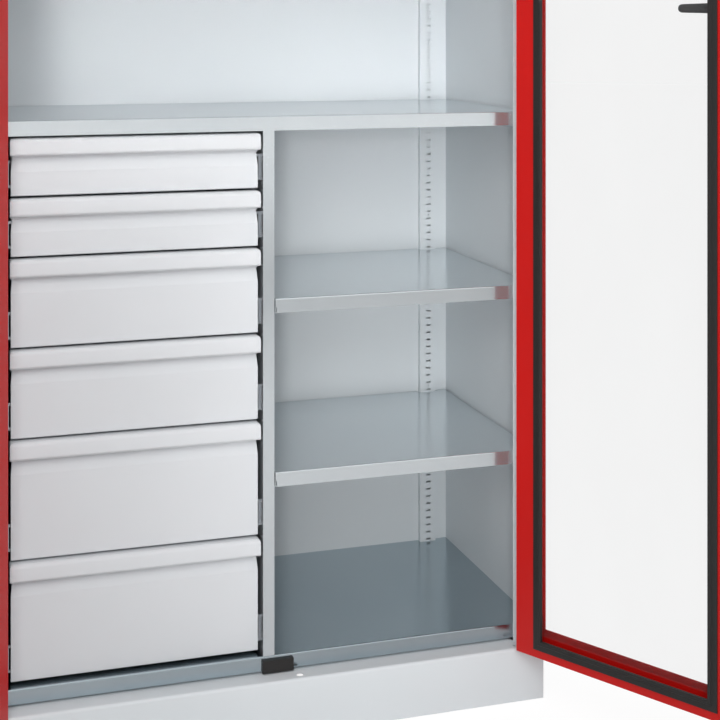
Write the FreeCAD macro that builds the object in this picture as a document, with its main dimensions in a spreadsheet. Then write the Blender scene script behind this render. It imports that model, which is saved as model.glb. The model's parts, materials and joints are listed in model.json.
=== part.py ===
import FreeCAD, Part
import math
import os
import re

import Sketcher

# Storage cabinet of folded sheet steel: drawers on the left, shelves on the right, two glazed doors.
# Millimetres. X runs to the right, Y into the cabinet and Z up; the origin lies on the floor, in the
# middle of the plinth's foot. The doors are modelled open, as they stand when the cabinet is in use.

SIZES = [
    ("cabinet_width", 1000, "outside width of the carcass"),
    ("cabinet_depth", 500, "depth from the flange faces to the rear"),
    ("cabinet_height", 1950, "height from the floor to the top"),
    ("carcass_sheet", 1.5, "steel of the sides, top and plinth"),
    ("front_flange", 36.5, "width of the flange along each side's front"),
    ("front_return", 34.5, "depth of the recess that the doors close into"),
    ("rim_width", 7.5, "rim that stands inward at the back of that recess"),
    ("rear_flange", 15, "flange along each side's rear edge"),
    ("plinth_height", 95, "height of the plinth's lip under the doors"),
    ("floor_gap", 5, "gap between that lip and the floor panel's edge"),
    ("plinth_foot", 30, "depth of the plinth's flange on the floor"),
    ("plinth_round", 5, "radius of the plinth's upper front edge"),
    ("lip_reach", 12, "reach of the plinth's lip under the floor panel"),
    ("lip_return", 18, "fold at the back of the header's lip"),
    ("header_height", 37, "height of the header over the doors"),
    ("back_sheet", 1, "steel of the back panel"),
    ("back_gap", 7, "depth of the back panel's folded edge"),
    ("shelf_sheet", 1.2, "steel of the shelves, floor and divider"),
    ("edge_height", 25, "height of a shelf's folded edge"),
    ("edge_return", 30, "width of the fold under a shelf's edge"),
    ("shelf_play", 2, "gap round a shelf"),
    ("relief_width", 2.5, "width of the notch at a shelf edge's lower corners"),
    ("relief_height", 10, "height of that notch"),
    ("slot_pitch", 15, "spacing of the slots in the uprights"),
    ("slot_start", 5, "height of the lowest slot over the floor panel"),
    ("slot_width", 9.4, "width of a slot"),
    ("slot_height", 3.3, "height of a slot"),
    ("marker_bore", 3, "diameter of the round hole that marks the slots"),
    ("marker_step", 24, "slots from one round hole to the next"),
    ("marker_drop", 3, "slots by which the round holes sit lower than full steps"),
    ("upright_face", 34.5, "width of a rear upright's slotted face"),
    ("upright_depth", 12, "distance of that face from the back panel"),
    ("upright_foot", 17, "flange of a rear upright on the back panel"),
    ("upright_offset", 27.5, "distance of the slotted face from the side wall"),
    ("slot_offset", 16, "distance of the slots from the face's outer edge"),
    ("lower_shelf_slot", 19, "slot that the lower half shelf hangs at"),
    ("upper_shelf_slot", 39, "slot that the upper half shelf hangs at"),
    ("top_shelf_slot", 90, "slot that the top shelf hangs at"),
    ("clip_width", 20, "width of a shelf clip"),
    ("clip_reach", 16, "ledge of a shelf clip"),
    ("clip_drop", 24, "height of a shelf clip"),
    ("clip_sheet", 2, "thickness of a shelf clip"),
    ("clip_play", 0.4, "play of a clip's tongue in its slot"),
    ("divider_width", 20, "width of the divider"),
    ("divider_slot_offset", 40, "distance of the divider's slots from its front and rear"),
    ("small_pitch", 100, "height taken by a shallow drawer"),
    ("medium_pitch", 150, "height taken by a medium drawer"),
    ("large_pitch", 200, "height taken by a deep drawer"),
    ("drawer_gap", 4, "gap between drawer fronts"),
    ("block_play", 1, "further gap under the lowest drawer"),
    ("slide_panel_inset", 18, "distance of the left slides' panel from the rim, clear of the open door"),
    ("drawer_side_gap", 3.5, "gap beside a drawer front"),
    ("drawer_sheet", 1.2, "steel of the drawers"),
    ("face_recess", 15.5, "distance of a drawer's face behind the shelf edges"),
    ("grip_height", 29, "height of a drawer's grip"),
    ("grip_round", 8, "upper radius of the grip"),
    ("grip_lower_round", 5, "lower radius of the grip"),
    ("grip_slope", 2, "set-back of the grip's upper edge"),
    ("grip_rise", 1, "rise of the grip's underside towards the finger gap"),
    ("grip_end", 10, "solid end piece of the grip"),
    ("grip_corner", 7, "radius at the grip's ends"),
    ("finger_height", 6, "height of the finger gap under the grip"),
    ("finger_depth", 5, "depth of the finger gap behind the face"),
    ("band_height", 21, "height of the sloping band under the finger gap"),
    ("front_fold", 14, "folds along a drawer front's top and bottom"),
    ("drawer_depth", 404, "depth of a drawer's box"),
    ("drawer_rise", 6, "height of the box over the front's lower edge"),
    ("drawer_drop", 36, "height that a box is lower than its pitch"),
    ("rail_length", 398, "length of a drawer slide"),
    ("rail_height", 45, "height of a drawer slide"),
    ("rail_width", 12.5, "width that a drawer slide fills"),
    ("rail_sheet", 1.2, "steel of the slides"),
    ("rail_play", 0.4, "play between the nested slides"),
    ("rail_rise", 30, "height of a slide's middle over the box's bottom"),
    ("rail_setback", 2, "distance of the slides behind the drawer front"),
    ("door_sheet", 1.2, "steel of the doors"),
    ("door_depth", 25, "thickness of a door"),
    ("door_gap", 3, "gap over, under and between the doors"),
    ("hinge_gap", 2.5, "gap between a door and the side's flange"),
    ("door_angle", 120, "angle that the doors stand open at"),
    ("hinge_frame", 46, "width of the door's skin beside the hinge"),
    ("rail_frame", 43, "width of the door's skin over and under the window"),
    ("lock_frame", 80, "width of the door's skin at the lock side"),
    ("hinge_fold", 45.5, "inner fold of the door at the hinge side"),
    ("rail_fold", 26.5, "inner fold of the door along its top and bottom"),
    ("lock_fold", 70, "inner fold of the door at the lock side"),
    ("pane_thickness", 4, "thickness of the window pane"),
    ("pane_lap", 12, "lap of the pane behind the door's skin"),
    ("seal_grip", 8, "part of the rubber profile that grips the fold"),
    ("seal_bulb", 9, "part of the rubber profile beyond the fold"),
    ("seal_leg", 3, "thickness of the rubber in front of the fold"),
    ("seal_lip", 2, "thickness of the rubber behind the fold"),
    ("seal_bead", 4.5, "height of the rubber's bead over the fold"),
    ("bead_start", 3, "distance of that bead from the fold's edge"),
    ("barrel_radius", 5, "radius of a hinge barrel"),
    ("barrel_height", 30, "height of one hinge barrel"),
    ("barrel_gap", 0.3, "gap between two hinge barrels"),
    ("pin_radius", 3, "radius of a hinge pin"),
    ("pin_play", 0.05, "running clearance round a hinge pin"),
    ("leaf_width", 24, "reach of a hinge leaf from the pin"),
    ("leaf_thickness", 2, "thickness of a hinge leaf"),
    ("notch_play", 1, "clearance of the cut-outs round the hinge barrels"),
    ("hinge_inset", 150, "height of the end hinges from the door's ends"),
    ("rod_inset", 48.5, "distance of the lock rods from the door's free edge"),
    ("rod_depth", 15.5, "distance of the lock rods behind the door's face"),
    ("rod_radius", 3.2, "radius of a lock rod"),
    ("rod_play", 0.3, "play of a lock rod in its holes"),
    ("rod_end", 0.4, "distance of a drawn-in rod from the door's end"),
    ("rod_seat", 25, "length of a rod inside the lock case"),
    ("keeper_radius", 6.5, "radius of the holes that the rods shoot into"),
    ("handle_height", 1240, "height of the handle over the floor"),
    ("case_width", 26, "width of the lock case"),
    ("case_height", 130, "height of the lock case"),
    ("case_depth", 21, "depth of the lock case"),
    ("case_bore", 45, "depth of the rods' bores in the lock case"),
    ("plate_width", 34, "width of the handle's plate"),
    ("plate_height", 160, "height of the handle's plate"),
    ("plate_top", 64, "height of the plate's upper end over the handle's axis"),
    ("plate_flat", 0.7, "flat part of the plate's rounded ends"),
    ("plate_thickness", 8, "thickness of the handle's plate"),
    ("hub_radius", 10, "radius of the handle's hub"),
    ("hub_length", 24, "length of the handle's hub"),
    ("spindle_radius", 4, "radius of the handle's spindle"),
    ("spindle_length", 13, "length of the spindle behind the door's face"),
    ("turn_play", 0.3, "play round the parts that turn in the handle's plate"),
    ("lever_length", 110, "length of the handle's lever"),
    ("lever_width", 20, "width of the lever at the hub"),
    ("lever_tip", 14, "width of the lever at its end"),
    ("lever_thickness", 9, "thickness of the lever"),
    ("lever_flat", 2, "flat part of the lever's rounded ends"),
    ("cylinder_drop", 48, "distance of the lock cylinder under the handle"),
    ("cylinder_radius", 7, "radius of the lock cylinder"),
    ("cylinder_length", 10, "length of the lock cylinder"),
    ("key_width", 2, "width of the key slot"),
    ("key_height", 8, "height of the key slot"),
    ("key_depth", 6, "depth of the key slot"),
    ("strip_width", 34, "width of the strip over the gap between the doors"),
    ("strip_lap", 14, "part of that strip in front of the left door"),
    ("strip_thickness", 1.5, "thickness of that strip"),
    ("strip_play", 0.5, "distance of the strip from the left door"),
    ("stop_width", 55, "width of the door stop"),
    ("stop_height", 21, "height of the door stop"),
    ("stop_shift", 15.5, "distance of the door stop's middle to the right of the cabinet's"),
    ("stop_play", 5, "gap between the door stop and a closed door"),
    ("drain_bore", 5, "diameter of the small hole at the lip's end"),
    ("drain_inset", 14.5, "distance of that hole from the lip's end"),
    ("drain_depth", 14, "distance of that hole behind the plinth's face"),
    ("ledge_width", 12, "width of the ledge under the fixed shelf"),
    ("ledge_inset", 70, "distance of that ledge's ends from the shelf's edges"),
]

doc = FreeCAD.newDocument("storage_cabinet")
sheet = doc.addObject("Spreadsheet::Sheet", "Sizes")
for row, (alias, number, meaning) in enumerate(SIZES, 1):
    sheet.set(f"A{row}", meaning)
    sheet.set(f"B{row}", str(number))
    sheet.setAlias(f"B{row}", alias)
doc.recompute()
ALIASES = {alias for alias, number, meaning in SIZES}

# Places that many pieces share, as sums of the sizes above
FRONT = "(-plinth_foot / 2)"
REAR = f"({FRONT} + cabinet_depth)"
OUTER = "(cabinet_width / 2)"
INNER = f"({OUTER} - carcass_sheet)"
FLANGE = f"({OUTER} - front_flange)"
RIM = f"({FLANGE} - rim_width)"
RIM_FRONT = f"({FRONT} + front_return)"
SHELF_FRONT = f"({RIM_FRONT} + carcass_sheet)"
BACK = f"({REAR} - carcass_sheet - back_gap)"
UPRIGHT_FRONT = f"({BACK} - upright_depth)"
UPRIGHT_OUTER = f"({INNER} - upright_offset)"
UPRIGHT_INNER = f"({UPRIGHT_OUTER} - upright_face)"
SLOT_X = f"({UPRIGHT_OUTER} - slot_offset)"
FRONT_SLOT_X = f"(({FLANGE} + carcass_sheet + {INNER}) / 2)"
UNDER_TOP = "(cabinet_height - carcass_sheet)"
FLOOR = "(plinth_height + floor_gap + edge_height)"
DRAWERS_TOP = f"({FLOOR} + block_play + drawer_gap + 2 * (small_pitch + medium_pitch + large_pitch))"
FIXED_TOP = f"({DRAWERS_TOP} + edge_height)"
FIRST_SLOT = f"({FLOOR} + slot_start)"
DIVIDER = "(divider_width / 2)"
SHELF_BACK = f"({BACK} - shelf_play)"
DRAWER_FACE = f"({SHELF_FRONT} + face_recess)"
SLIDE_PANEL = f"({RIM} - slide_panel_inset)"
DRAWER_LEFT = f"(-{SLIDE_PANEL} + drawer_side_gap)"
DRAWER_RIGHT = f"(-{DIVIDER} - drawer_side_gap)"
BOX_FRONT = f"({DRAWER_FACE} + finger_depth + drawer_sheet)"
BOX_LEFT = f"(-{SLIDE_PANEL} + rail_width)"
BOX_RIGHT = f"(-{DIVIDER} - rail_width)"
RAIL_FRONT = f"({BOX_FRONT} + rail_setback)"
HINGE_X = f"({FLANGE} - hinge_gap / 2)"
DOOR_EDGE = "(hinge_gap / 2)"
DOOR_FREE = f"({HINGE_X} - door_gap / 2)"
DOOR_BOTTOM = "(plinth_height + door_gap)"
DOOR_TOP = "(cabinet_height - header_height - door_gap)"
ROD_X = f"({DOOR_FREE} - rod_inset)"
KEEPER_X = "(door_gap / 2 + rod_inset)"
KEEPER_Y = f"({FRONT} + rod_depth)"
SIDES = {"left": -1, "right": 1}
HALF_SHELF_SLOTS = ["lower_shelf_slot", "upper_shelf_slot"]
TOLERANCE = 0.01

# The bodies of each piece, by the piece's name
pieces = {}


def bind(text):
    """A formula with every size written as a reference to its cell."""
    return re.sub(r"[a-z_]+", lambda word: "Sizes." + word[0] if word[0] in ALIASES else word[0], text)


def value(text):
    """The number that a formula gives with the present sizes."""
    return float(sheet.evalExpression(bind(text)))


def new_body(name, plate=None):
    """An empty body for one piece, or for one plate of a welded piece."""
    label = f"{name}_{plate}" if plate else name
    body = doc.addObject("PartDesign::Body", label)
    body.Label = label
    pieces.setdefault(name, []).append(body)
    return body


def origin_feature(body, role):
    """One of the body's own planes or axes."""
    return next(feature for feature in body.Origin.OriginFeatures if feature.Role == role)


def box_outline(left, low, right, high, rounding=None):
    """A rectangle between two corners, with rounded corners if asked."""
    corners = [(left, low), (right, low), (right, high), (left, high)]
    return [corner + (rounding,) for corner in corners] if rounding else corners


def fold_outline(path, thickness, side=1):
    """The section of a folded sheet: its outer line, and its inner line one thickness to the left of it
    (side 1) or to the right (side -1). A third value at a corner is the bend's outer radius."""
    points = [FreeCAD.Vector(value(corner[0]), value(corner[1]), 0) for corner in path]
    steps = [(end - start).normalize() for start, end in zip(points, points[1:])]
    normals = [FreeCAD.Vector(-side * step.y, side * step.x, 0) for step in steps]
    inner = []
    for index, corner in enumerate(path):
        before = normals[max(index - 1, 0)]
        after = normals[min(index, len(normals) - 1)]
        shift = (before + after) * (1 / (1 + before.dot(after)))
        x = f"{corner[0]} + {shift.x:.9f} * {thickness}"
        y = f"{corner[1]} + {shift.y:.9f} * {thickness}"
        if len(corner) == 2:
            inner.append((x, y))
            continue
        turn = before.cross(after).z * side
        sign = "-" if turn > 0 else "+"
        inner.append((x, y, f"({corner[2]}) {sign} {thickness}"))
    return list(path) + inner[::-1]


def corner_cut(points, index):
    """Unit steps from a corner to its neighbours, and the tangent length for a radius of one."""
    here = points[index]
    to_last = (points[index - 1] - here).normalize()
    to_next = (points[(index + 1) % len(points)] - here).normalize()
    half_angle = to_last.getAngle(to_next) / 2
    return to_last, to_next, 1 / math.tan(half_angle)


def draw_outlines(sketch, outlines):
    """Closed outlines of straight lines, with an arc at each corner that has a radius. Every end point
    and radius is a constraint bound to its formula."""
    shapes = []
    rules = []
    formulas = []

    def fix(kind, shape, end, number, formula):
        target = (shape, end) if end else (shape,)
        rule = Sketcher.Constraint(kind, *target, number)
        rule.Name = f"{kind}_{shape}_{end}"
        rules.append(rule)
        formulas.append((rule.Name, formula))

    for outline in outlines:
        points = [FreeCAD.Vector(value(corner[0]), value(corner[1]), 0) for corner in outline]
        ends = []
        for index, corner in enumerate(outline):
            if len(corner) == 2:
                ends.append([corner])
                continue
            to_last, to_next, reach = corner_cut(points, index)
            ends.append([
                (
                    f"{corner[0]} + {step.x * reach:.9f} * ({corner[2]})",
                    f"{corner[1]} + {step.y * reach:.9f} * ({corner[2]})",
                )
                for step in (to_last, to_next)
            ])
        first = len(shapes)
        for index, corner in enumerate(outline):
            start = ends[index][-1]
            stop = ends[(index + 1) % len(outline)][0]
            line = len(shapes)
            start_point = FreeCAD.Vector(value(start[0]), value(start[1]), 0)
            stop_point = FreeCAD.Vector(value(stop[0]), value(stop[1]), 0)
            shapes.append(Part.LineSegment(start_point, stop_point))
            fix("DistanceX", line, 1, start_point.x, start[0])
            fix("DistanceY", line, 1, start_point.y, start[1])
            following = outline[(index + 1) % len(outline)]
            if len(following) == 2:
                after = first if index + 1 == len(outline) else line + 1
                rules.append(Sketcher.Constraint("Coincident", line, 2, after, 1))
                continue
            fix("DistanceX", line, 2, stop_point.x, stop[0])
            fix("DistanceY", line, 2, stop_point.y, stop[1])
            to_last, to_next, reach = corner_cut(points, (index + 1) % len(outline))
            radius = value(following[2])
            bisector = (to_last + to_next).normalize()
            centre_distance = radius * math.hypot(1, reach)
            corner_point = points[(index + 1) % len(outline)]
            middle = corner_point + bisector * (centre_distance - radius)
            leave = ends[(index + 1) % len(outline)][1]
            leave_point = FreeCAD.Vector(value(leave[0]), value(leave[1]), 0)
            arc = Part.Arc(stop_point, middle, leave_point)
            shapes.append(arc)
            after = first if index + 1 == len(outline) else line + 2
            turning = to_last.cross(to_next).z < 0
            arc_start, arc_end = (1, 2) if turning else (2, 1)
            rules.append(Sketcher.Constraint("Coincident", line, 2, line + 1, arc_start))
            rules.append(Sketcher.Constraint("Coincident", line + 1, arc_end, after, 1))
            fix("Radius", line + 1, 0, radius, following[2])
    sketch.addGeometry(shapes, False)
    sketch.addConstraint(rules)
    for name, formula in formulas:
        sketch.setExpression(f"Constraints.{name}", bind(formula))


def draw_circles(sketch, circles):
    """Circles given by their middle and radius, each bound to its formula."""
    for x, y, radius in circles:
        middle = FreeCAD.Vector(value(x), value(y), 0)
        circle = sketch.addGeometry(Part.Circle(middle, FreeCAD.Vector(0, 0, 1), value(radius)), False)
        for kind, number, formula in (("DistanceX", middle.x, x), ("DistanceY", middle.y, y)):
            rule = sketch.addConstraint(Sketcher.Constraint(kind, circle, 3, number))
            sketch.setExpression(f"Constraints[{rule}]", bind(formula))
        rule = sketch.addConstraint(Sketcher.Constraint("Radius", circle, value(radius)))
        sketch.setExpression(f"Constraints[{rule}]", bind(radius))


def new_sketch(body, name, plane, place):
    """A sketch on one of the body's planes, moved to a place along the plane's own axis."""
    sketch = body.newObject("Sketcher::SketchObject", f"{body.Name}_{name}_sketch")
    sketch.AttachmentSupport = [(origin_feature(body, f"{plane}_Plane"), "")]
    sketch.MapMode = "FlatFace"
    sign = "-" if plane == "XZ" else ""
    sketch.setExpression("AttachmentOffset.Base.z", bind(f"{sign}({place})"))
    return sketch


def shape_feature(kind, body, name, plane, place, length, outlines, circles):
    """A Pad or Pocket of a new sketch."""
    sketch = new_sketch(body, name, plane, place)
    if outlines:
        draw_outlines(sketch, outlines)
    if circles:
        draw_circles(sketch, circles)
    feature = body.newObject(f"PartDesign::{kind}", f"{body.Name}_{name}")
    feature.Profile = sketch
    feature.setExpression("Length", bind(length))
    return feature


def pad(body, name, plane, place, length, outlines=(), circles=()):
    """Adds material: upwards from an XY plane, to the right of a YZ plane, forwards of an XZ plane."""
    return shape_feature("Pad", body, name, plane, place, length, outlines, circles)


def pocket(body, name, plane, place, length, outlines=(), circles=()):
    """Takes material away: below an XY plane, to the left of a YZ plane, behind an XZ plane."""
    return shape_feature("Pocket", body, name, plane, place, length, outlines, circles)


def repeat_upwards(body, name, feature, spacing, count):
    """Copies a feature upwards at an even spacing."""
    pattern = body.newObject("PartDesign::LinearPattern", f"{body.Name}_{name}")
    pattern.Originals = [feature]
    pattern.Direction = (origin_feature(body, "Z_Axis"), [""])
    pattern.Mode = "Spacing"
    pattern.setExpression("Offset", bind(spacing))
    pattern.setExpression("Occurrences", bind(count))
    body.Tip = pattern
    return pattern


# Carcass

def make_side(side_name):
    """A side wall: front flange, the return that the door closes into, rim and rear flange."""
    side = SIDES[side_name]
    body = new_body(f"side_{side_name}")
    path = [
        (f"{side} * {RIM}", RIM_FRONT),
        (f"{side} * {FLANGE}", RIM_FRONT),
        (f"{side} * {FLANGE}", FRONT),
        (f"{side} * {OUTER}", FRONT),
        (f"{side} * {OUTER}", REAR),
        (f"{side} * ({OUTER} - rear_flange)", REAR),
    ]
    pad(body, "sheet", "XY", "0", UNDER_TOP, [fold_outline(path, "carcass_sheet", side)])
    notch_width = f"({HINGE_X} + barrel_radius + notch_play)"
    notches = [
        box_outline(
            f"{side} * {FLANGE}",
            f"{low} - notch_play",
            f"{side} * {notch_width}",
            f"{low} + 2 * barrel_height + barrel_gap + notch_play",
        )
        for low in hinge_heights()
    ]
    pocket(body, "hinge_notch", "XZ", FRONT, "barrel_radius + notch_play", notches)


def hinge_heights():
    """Heights of the lower end of each hinge."""
    hinge = "(2 * barrel_height + barrel_gap)"
    low = f"({DOOR_BOTTOM} + hinge_inset)"
    high = f"({DOOR_TOP} - hinge_inset - {hinge})"
    return [low, high]


def make_back_panel():
    """The back wall: one sheet whose edges are folded back to the sides' rear flanges."""
    body = new_body("back_panel")
    outside = box_outline(f"-{INNER}", "0", INNER, UNDER_TOP)
    inside = box_outline(
        f"-{INNER} + back_sheet", "back_sheet", f"{INNER} - back_sheet", f"{UNDER_TOP} - back_sheet")
    pad(body, "block", "XZ", f"{BACK} + back_gap", "back_gap", [outside])
    pocket(body, "hollow", "XZ", f"{BACK} + back_sheet", "back_gap - back_sheet", [inside])


def make_top_panel():
    """The top sheet with a fold that fits inside the walls."""
    body = new_body("top_panel")
    pad(body, "sheet", "XY", UNDER_TOP, "carcass_sheet", [box_outline(f"-{OUTER}", FRONT, OUTER, REAR)])
    outside = box_outline(f"-{INNER}", SHELF_FRONT, INNER, BACK)
    inside = box_outline(
        f"-{INNER} + carcass_sheet",
        f"{SHELF_FRONT} + carcass_sheet",
        f"{INNER} - carcass_sheet",
        f"{BACK} - carcass_sheet",
    )
    pad(body, "fold", "XY", f"{UNDER_TOP} - edge_height", "edge_height", [outside, inside])


def make_plinth_front():
    """The plinth between the sides: foot, face, rounded edge and the lip, also under the floor panel."""
    body = new_body("plinth_front")
    path = [
        (f"{FRONT} + plinth_foot", "0"),
        (FRONT, "0"),
        (FRONT, "plinth_height", "plinth_round"),
        (RIM_FRONT, "plinth_height"),
    ]
    pad(body, "sheet", "YZ", f"-{FLANGE}", f"2 * {FLANGE}", [fold_outline(path, "carcass_sheet", -1)])
    reach_path = [
        (RIM_FRONT, "plinth_height"),
        (f"{SHELF_FRONT} + lip_reach", "plinth_height"),
        (f"{SHELF_FRONT} + lip_reach", "plinth_height + floor_gap"),
    ]
    reach_half = f"({RIM} - shelf_play)"
    reach = fold_outline(reach_path, "carcass_sheet", -1)
    pad(body, "reach", "YZ", f"-{reach_half}", f"2 * {reach_half}", [reach])
    drain_x = f"({FLANGE} - drain_inset)"
    drain_y = f"{FRONT} + drain_depth"
    holes = [
        (KEEPER_X, KEEPER_Y, "keeper_radius"),
        (drain_x, drain_y, "drain_bore / 2"),
        (f"-{drain_x}", drain_y, "drain_bore / 2"),
    ]
    pocket(body, "lip_holes", "XY", "plinth_height", "plinth_round", circles=holes)


def make_header_front():
    """The header over the doors, a mirror of the plinth's lip."""
    body = new_body("header_front")
    low = "(cabinet_height - header_height)"
    path = [
        (f"{FRONT} + plinth_foot", UNDER_TOP),
        (FRONT, UNDER_TOP),
        (FRONT, low),
        (RIM_FRONT, low),
        (RIM_FRONT, f"{low} + lip_return"),
    ]
    pad(body, "sheet", "YZ", f"-{FLANGE}", f"2 * {FLANGE}", [fold_outline(path, "carcass_sheet")])
    keeper = (KEEPER_X, KEEPER_Y, "keeper_radius")
    pocket(body, "keeper", "XY", f"{low} + carcass_sheet", "carcass_sheet", circles=[keeper])


def slot_outline(middle_x, middle_z):
    """One slot, given by its middle."""
    return box_outline(
        f"{middle_x} - slot_width / 2",
        f"{middle_z} - slot_height / 2",
        f"{middle_x} + slot_width / 2",
        f"{middle_z} + slot_height / 2",
    )


def make_rear_upright(side_name):
    """An upright in front of the back panel: face, webs and foot. Slots start where shelves can hang."""
    side = SIDES[side_name]
    body = new_body(f"rear_upright_{side_name}")
    path = [
        (f"{side} * {UPRIGHT_INNER}", BACK),
        (f"{side} * {UPRIGHT_INNER}", UPRIGHT_FRONT),
        (f"{side} * {UPRIGHT_OUTER}", UPRIGHT_FRONT),
        (f"{side} * {UPRIGHT_OUTER}", f"{BACK} - carcass_sheet"),
        (f"{side} * ({UPRIGHT_OUTER} + upright_foot)", f"{BACK} - carcass_sheet"),
    ]
    height = f"{UNDER_TOP} - edge_height - {FLOOR}"
    pad(body, "sheet", "XY", FLOOR, height, [fold_outline(path, "carcass_sheet", side)])
    middle = f"{side} * {SLOT_X}"
    first = "0" if side > 0 else f"ceil(({FIXED_TOP} - {FIRST_SLOT}) / slot_pitch)"
    count = f"(floor(({UNDER_TOP} - edge_height - {FIRST_SLOT}) / slot_pitch) - {first})"
    first_marker = 1 + int(value(f"{first} / marker_step"))
    last_marker = int(value(f"({count} + {first}) / marker_step"))
    markers = [
        (middle, f"{FIRST_SLOT} + ({turn} * marker_step - marker_drop + 0.5) * slot_pitch", "marker_bore / 2")
        for turn in range(first_marker, last_marker)
    ]
    pocket(body, "markers", "XZ", UPRIGHT_FRONT, "carcass_sheet", circles=markers)
    lowest = slot_outline(middle, f"({FIRST_SLOT} + {first} * slot_pitch)")
    slot = pocket(body, "slot", "XZ", UPRIGHT_FRONT, "carcass_sheet", [lowest])
    repeat_upwards(body, "slots", slot, "slot_pitch", count)


def shelf_low(slot):
    """Lower side of a shelf that hangs at a slot."""
    return f"({FIRST_SLOT} + {slot} * slot_pitch)"


def make_front_uprights():
    """Flat strips that close the front flanges from behind, with the slots that the shelves hang at."""
    body = new_body("front_uprights")
    strips = [
        box_outline(f"{side} * ({FLANGE} + carcass_sheet)", RIM_FRONT, f"{side} * {INNER}", SHELF_FRONT)
        for side in SIDES.values()
    ]
    pad(body, "strips", "XY", "0", UNDER_TOP, strips)
    slots = [
        slot_outline(f"{side} * {FRONT_SLOT_X}", f"{shelf_low(slot)} - slot_pitch")
        for side, slot in front_hangers()
    ]
    pocket(body, "slots", "XZ", RIM_FRONT, "carcass_sheet", slots)


def front_hangers():
    """Side and slot of each clip in the front uprights."""
    return [(1, "lower_shelf_slot"), (1, "upper_shelf_slot"), (1, "top_shelf_slot"), (-1, "top_shelf_slot")]


def make_divider():
    """The hollow wall between drawers and shelves, with the slots that the half shelves hang in."""
    body = new_body("divider_panel")
    outside = box_outline(f"-{DIVIDER}", SHELF_FRONT, DIVIDER, BACK)
    inside = box_outline(
        f"-{DIVIDER} + shelf_sheet",
        f"{SHELF_FRONT} + shelf_sheet",
        f"{DIVIDER} - shelf_sheet",
        f"{BACK} - shelf_sheet",
    )
    pad(body, "skin", "XY", FLOOR, f"{DRAWERS_TOP} - {FLOOR}", [outside, inside])
    slots = [
        slot_outline(middle, f"({shelf_low(slot)} - slot_pitch)")
        for middle in divider_slots()
        for slot in HALF_SHELF_SLOTS
    ]
    pocket(body, "slots", "YZ", DIVIDER, "shelf_sheet", slots)


def divider_slots():
    """Places of the divider's two rows of slots."""
    return [f"({SHELF_FRONT} + divider_slot_offset)", f"({BACK} - divider_slot_offset)"]


def make_mounting_panel():
    """The panel that carries the left-hand slides, so far inward that the drawers pass the open door."""
    body = new_body("drawer_mounting_panel")
    path = [
        (f"-{INNER}", UPRIGHT_FRONT),
        (f"-{SLIDE_PANEL}", UPRIGHT_FRONT),
        (f"-{SLIDE_PANEL}", SHELF_FRONT),
        (f"-{INNER}", SHELF_FRONT),
    ]
    pad(body, "sheet", "XY", FLOOR, f"{DRAWERS_TOP} - {FLOOR}", [fold_outline(path, "shelf_sheet", -1)])


def make_shelf(name, left, right, back, top, notch_sides=()):
    """A shelf with folded edges and folds under them, cut out round the rear uprights."""
    body = new_body(name)
    low = f"({top} - edge_height)"
    pad(body, "block", "XY", low, "edge_height", [box_outline(left, SHELF_FRONT, right, back)])
    bend_front_edge(body, top)
    for part, margin, start, depth in (
        ("hollow", "shelf_sheet", f"{top} - shelf_sheet", "edge_height - 2 * shelf_sheet"),
        ("opening", "edge_return", f"{low} + shelf_sheet", "shelf_sheet"),
    ):
        outline = box_outline(
            f"{left} + {margin}",
            f"{SHELF_FRONT} + {margin}",
            f"{right} - {margin}",
            f"{back} - {margin}",
        )
        pocket(body, part, "XY", start, depth, [outline])
    notches = [
        box_outline(
            f"{side} * ({UPRIGHT_INNER} - shelf_play)",
            f"{UPRIGHT_FRONT} - shelf_play",
            f"{side} * ({UPRIGHT_OUTER} + shelf_play)",
            BACK,
        )
        for side in notch_sides
    ]
    if notches:
        pocket(body, "notch", "XY", top, "edge_height", notches)
        feet = [
            box_outline(
                f"{side} * {UPRIGHT_OUTER}",
                f"{BACK} - carcass_sheet - shelf_play",
                f"{side} * ({UPRIGHT_OUTER} + upright_foot + shelf_play)",
                BACK,
            )
            for side in notch_sides
        ]
        pocket(body, "foot_notch", "XY", top, "edge_height", feet)
        relief_top = f"{low} + relief_height"
        reliefs = [
            box_outline(left, low, f"{left} + relief_width", relief_top),
            box_outline(f"{right} - relief_width", low, right, relief_top),
        ]
        pocket(body, "reliefs", "XZ", SHELF_FRONT, "shelf_sheet", reliefs)


def bend_front_edge(body, top):
    """Rounds the upper front edge of a shelf to a bend of two thicknesses."""
    doc.recompute()
    block = body.Tip
    front = value(SHELF_FRONT)
    height = value(top)
    for number, edge in enumerate(block.Shape.Edges, 1):
        middle = edge.BoundBox.Center
        if abs(middle.y - front) < TOLERANCE and abs(middle.z - height) < TOLERANCE:
            bend = body.newObject("PartDesign::Fillet", f"{body.Name}_bend")
            bend.Base = (block, [f"Edge{number}"])
            bend.setExpression("Radius", bind("2 * shelf_sheet"))
            return


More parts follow.
